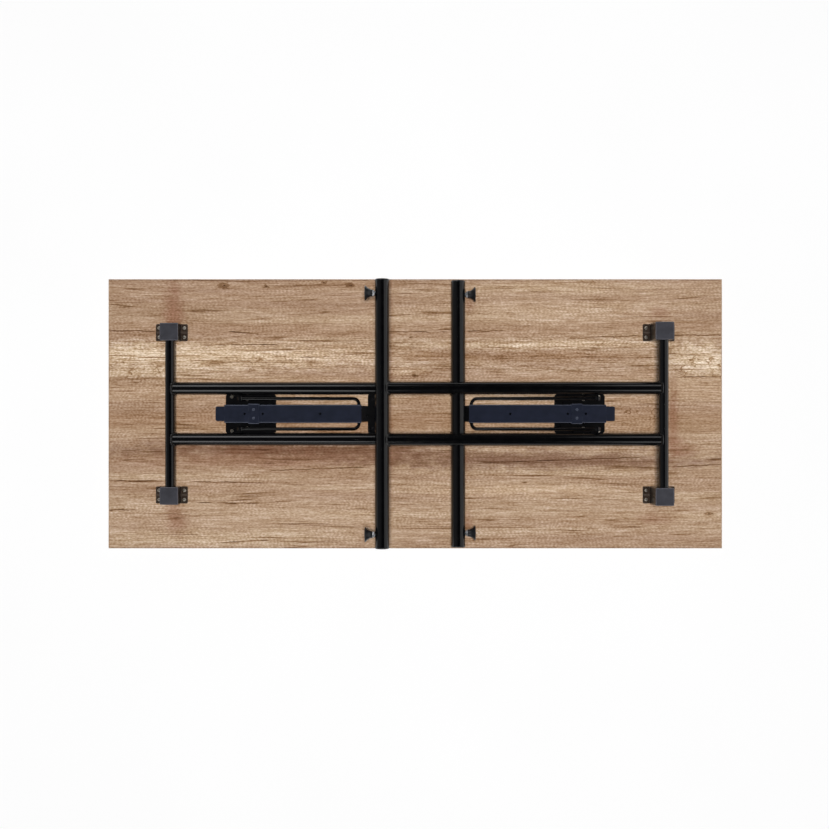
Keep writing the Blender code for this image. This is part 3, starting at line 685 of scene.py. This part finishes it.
# A pan head with a tapered cross recess. A flush head is the same head, pressed flat.
def screw_head(high):
    rim, rise = HEAD_RIM * high, (1 - HEAD_RIM) * high
    dome = [(HEAD_R * math.sin(a), rim + rise * math.cos(a)) for a in dome_angles(DOME_STEPS)]
    head = turned(dome + [(HEAD_R, 0), (0, 0)], HEAD_STEPS)
    obj = bpy.data.objects.new("head", head)
    cutter = bmesh.new()
    at_top = Matrix.Translation((0, 0, high * MM))
    for long, wide in ((RECESS_LONG, RECESS_WIDE), (RECESS_WIDE, RECESS_LONG)):
        sizes = Matrix.Diagonal((long * MM, wide * MM, 2 * RECESS_SHARE * high * MM, 1))
        made = bmesh.ops.create_cube(cutter, size=1, matrix=at_top @ sizes)
        for vert in made["verts"]:
            if vert.co.z < high * MM:
                vert.co.xy *= RECESS_TAPER
    hold = bpy.data.meshes.new("recess")
    cutter.to_mesh(hold)
    cutter.free()
    tool = bpy.data.objects.new("recess", hold)
    bpy.context.scene.collection.objects.link(tool)
    cut = obj.modifiers.new("recess", "BOOLEAN")
    cut.operation = "DIFFERENCE"
    cut.solver = "EXACT"
    cut.use_self = True
    cut.object = tool
    mesh = finished(obj)
    bpy.data.objects.remove(tool, do_unlink=True)
    return mesh


# Copies one small mesh to several seats, each turned a little further than the last.
def seated(mesh, seats):
    bm = bmesh.new()
    for i, seat in enumerate(seats):
        before = len(bm.verts)
        bm.from_mesh(mesh)
        bm.verts.ensure_lookup_table()
        turn = Matrix.Rotation(math.radians(HEAD_TURN * (i + 1)), 4, "Z")
        bmesh.ops.transform(bm, matrix=Matrix.Translation(seat) @ turn, verts=bm.verts[before:])
    return bm


# Screws on bracket tabs, base plates and rail ends, and rivets on the saddles.
def fasteners():
    pan, flush = screw_head(HEAD_HIGH), screw_head(FLUSH_HIGH)
    arc = dome_angles(RIVET_STEPS)
    dome = [(RIVET_R * math.sin(a), RIVET_HIGH * math.cos(a)) for a in arc]
    dimple = [(r, share * RIVET_HIGH) for r, share in RIVET_DIMPLE]
    rivet = turned(dimple + dome[2:] + [(0, 0)], HEAD_STEPS)
    tab_x, tab_y = TAB_SCREW[0] * MM, TAB_SCREW[1] * MM
    for side_name, side in SIDES.items():
        for end_name in ENDS:
            name = f"{side_name}_bracket_{end_name}"
            low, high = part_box(name)
            middle = (low + high) / 2
            seat_z = low.z + SHEET * MM
            offsets = [(a * tab_x, b * tab_y) for a in (-1, 1) for b in (-1, 1)]
            seats = [(middle.x + dx, middle.y + dy, seat_z) for dx, dy in offsets]
            piece(name + "_screws", seated(pan, seats), DULL_ZINC, "tabletop")
        low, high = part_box(side_name + "_base_plate")
        outer = low.x if side < 0 else high.x
        spots = [(outer - side * d * MM, y * MM) for d, y in PLATE_SCREWS]
        seat_z = low.z + SHEET * MM
        seats = [(x, end * y, seat_z) for x, y in spots for end in ENDS.values()]
        piece(side_name + "_base_plate_screws", seated(pan, seats), DULL_ZINC, "tabletop")
        low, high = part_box(side_name + "_rail")
        anchor_x = (high.x if side < 0 else low.x) + side * ANCHOR_SCREW[0] * MM
        anchor_y, seat_z = ANCHOR_SCREW[1] * MM, low.z + SHEET * MM
        seats = [(anchor_x, end * anchor_y, seat_z) for end in ENDS.values()]
        piece(side_name + "_rail_screws", seated(flush, seats), PLATE, "tabletop")
        low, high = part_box(side_name + "_saddle")
        middle = (low + high) / 2
        seats = [(middle.x, end * RIVET_Y * MM, high.z) for end in ENDS.values()]
        piece(side_name + "_saddle_rivets", seated(rivet, seats), SLATE, "tabletop")


# A round bead along a path in metres. Thick lists the bead's share of its radius at each point.
def bead(path, radius, thick, closed):
    curve = bpy.data.curves.new("bead", "CURVE")
    curve.dimensions = "3D"
    curve.bevel_depth = radius * MM
    curve.bevel_resolution = 2
    curve.use_fill_caps = True
    spline = curve.splines.new("POLY")
    spline.points.add(len(path) - 1)
    for point, place, share in zip(spline.points, path, thick):
        point.co = (*place, 1)
        point.radius = share
    spline.use_cyclic_u = closed
    mesh = finished(bpy.data.objects.new("bead", curve))
    bm = bmesh.new()
    bm.from_mesh(mesh)
    return bm


# Fillet welds where a post meets the pivot bar and the foot bar, with the ripples of a hand weld.
def welds():
    for side_name, side in SIDES.items():
        for end_name in ENDS:
            post_low, post_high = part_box(f"{side_name}_post_{end_name}")
            post_r = (post_high.z - post_low.z) / 2
            post_y = (post_low.y + post_high.y) / 2
            post_z = (post_low.z + post_high.z) / 2
            for bar_name, way in (("pivot_bar", -side), ("foot_bar", side)):
                bar_low, bar_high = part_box(f"{side_name}_{bar_name}")
                bar_x, bar_r = (bar_low.x + bar_high.x) / 2, (bar_high.x - bar_low.x) / 2
                post_end = post_low.x if way > 0 else post_high.x
                least = abs(post_end - bar_x) + WELD_R * MM / 2
                path, thick = [], []
                for i in range(WELD_STEPS):
                    a = 2 * math.pi * i / WELD_STEPS
                    y, z = post_r * math.cos(a), post_r * math.sin(a)
                    out = math.sqrt(max(bar_r**2 - z**2, least**2))
                    path.append((bar_x + way * out, post_y + y, post_z + z))
                    swell = abs(math.sin(a * WELD_RIPPLES))
                    thick.append(1 - WELD_RIPPLE + WELD_RIPPLE * swell)
                name = f"{side_name}_{bar_name}_weld_{end_name}"
                weld = bead(path, WELD_R, thick, True)
                piece(name, weld, TUBE, side_name + "_leg")


# The rolled thread on each leveller stem, from inside the foot bar to the hexagon.
def threads():
    stem_r, pitch, sink = STEM_R * MM, THREAD_PITCH * MM, THREAD_SINK * MM
    for side_name, side in SIDES.items():
        for end_name in ENDS:
            body = f"{side_name}_leveller_{end_name}"
            low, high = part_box(body + "_stem")
            pad_low, pad_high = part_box(body + "_pad")
            inner = high.x if side > 0 else low.x
            neck = pad_high.x if side > 0 else pad_low.x
            stop = abs(neck - inner) - HEX_KEEP * MM
            middle = (low + high) / 2
            count = round((stop - sink) / pitch * THREAD_STEPS)
            path, thick = [], []
            for i in range(count + 1):
                a = 2 * math.pi * i / THREAD_STEPS
                x = inner - side * (sink + pitch * i / THREAD_STEPS)
                path.append((x, middle.y + stem_r * math.cos(a), middle.z + stem_r * math.sin(a)))
                rising = THREAD_TIP + THREAD_GROW * i / count
                falling = THREAD_TIP + THREAD_GROW * (1 - i / count)
                thick.append(min(1, rising, falling))
            thread = bead(path, THREAD_RIDGE, thick, False)
            piece(body + "_thread", thread, ZINC, body)


# White sweep: painted studio floor. Seen straight or in a reflection it glows, so that it is white.
# Far out it turns to the white of the walls.
def white_floor():
    bpy.ops.mesh.primitive_grid_add(
        x_subdivisions=2, y_subdivisions=2, size=FLOOR_WIDE, location=(0, 0, -FLOOR_DROP * MM)
    )
    floor = bpy.context.object
    floor.name = "studio_floor"
    material, tree, place = start("white_studio_floor")
    cloud = blotches(tree, place, FLOOR_CLOUD)
    colour = add(tree, "ValToRGB", cloud, stops=((0.3, "#F6F6F6"), (0.7, "#FAFAFA")))
    matt = {"Base Color": colour, "Roughness": 0.9, "Specular IOR Level": 0.0}
    paint_coat = add(tree, "BsdfPrincipled", matt)
    rays = add(tree, "LightPath").outputs
    seen = add(tree, "Math", rays["Is Camera Ray"], rays["Is Glossy Ray"], operation="MAXIMUM")
    seen = add(tree, "Math", seen, rays["Is Transmission Ray"], operation="MAXIMUM")
    away = add(tree, "VectorMath", place, operation="LENGTH")
    most = add(tree, "MapRange", away, FADE_FROM, FADE_TO, FLOOR_GLOW, 1.0)
    share = add(tree, "Math", seen, most, operation="MULTIPLY")
    far = add(tree, "MapRange", away, FADE_FROM, FADE_TO)
    tone = add(tree, "ValToRGB", far, stops=((0.0, "#FFFFFF"), (1.0, WALL_WHITE)))
    glow = add(tree, "Emission", tone, 1.0)
    add(tree, "OutputMaterial", add(tree, "MixShader", share, paint_coat, glow))
    floor.data.materials.append(material)


# A dark room with one pale wall on the left, as the gloss on the tubes shows. A white cove runs
# round it low down, where the floor meets the walls. Straight views see white all the way up.
def studio_walls():
    world = bpy.data.worlds.new("studio_walls")
    bpy.context.scene.world = world
    world.use_nodes = True
    tree = world.node_tree
    tree.nodes.clear()
    look = add(tree, "TexCoord").outputs["Generated"]
    across, _, up = add(tree, "SeparateXYZ", look).outputs
    rightward = add(tree, "MapRange", across, -0.9, 0.1, 0.0, 1.0)
    room = add(tree, "ValToRGB", rightward, stops=WALL_GREYS)
    cove = add(tree, "MapRange", up, 0.0, 0.1, 1.0, 0.0)
    straight = add(tree, "LightPath").outputs["Is Camera Ray"]
    white = add(tree, "Math", straight, cove, operation="MAXIMUM")
    colour = add(tree, "Mix", white, room, srgb(WALL_WHITE), data_type="RGBA")
    add(tree, "OutputWorld", add(tree, "Background", colour, 1.0))


# A soft lamp facing a point, with sizes in metres. Radiance is what a mirror would show of it. A
# card shows in gloss alone.
def softbox(name, place, aim, wide, tall, radiance, card=True):
    lamp = bpy.data.lights.new(name, "AREA")
    lamp.shape = "RECTANGLE"
    lamp.size = wide
    lamp.size_y = tall
    lamp.energy = radiance * math.pi * wide * tall
    obj = bpy.data.objects.new(name, lamp)
    obj.location = place
    obj.rotation_euler = (Vector(aim) - Vector(place)).to_track_quat("-Z", "Y").to_euler()
    obj.visible_glossy = card
    obj.visible_diffuse = not card
    obj.visible_camera = False
    bpy.context.scene.collection.objects.link(obj)


def lamps():
    softbox("overhead", (0, 0, 6.0), (0, 0, 0), wide=1.3, tall=1.3, radiance=68.0, card=False)
    softbox("right_card", (1.75, 0, 0.98), (0, 0, 0.05), wide=3.2, tall=2.3, radiance=0.7)
    for end in ENDS.values():
        place, aim = (-0.7, 1.6 * end, 1.5), (-0.35, 0, 0.05)
        softbox(f"left_strip_{end}", place, aim, wide=1.15, tall=0.95, radiance=2.6)
        place, aim = (1.1, 1.6 * end, 1.5), (0.5, 0, 0.08)
        softbox(f"right_strip_{end}", place, aim, wide=0.6, tall=0.9, radiance=1.6)


def camera():
    lens = bpy.data.cameras.new("camera")
    lens.lens = CAMERA_LENS
    lens.sensor_width = 36.0
    lens.clip_end = 50.0
    obj = bpy.data.objects.new("camera", lens)
    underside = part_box("tabletop_panel")[1].z
    obj.location = (CAMERA_X * MM, CAMERA_Y * MM, underside + CAMERA_HIGH * MM)
    bpy.context.scene.collection.objects.link(obj)
    bpy.context.scene.camera = obj


camera()
dress_nodes()
fasteners()
welds()
threads()
white_floor()
studio_walls()
lamps()
bpy.context.scene.view_settings.view_transform = "Standard"
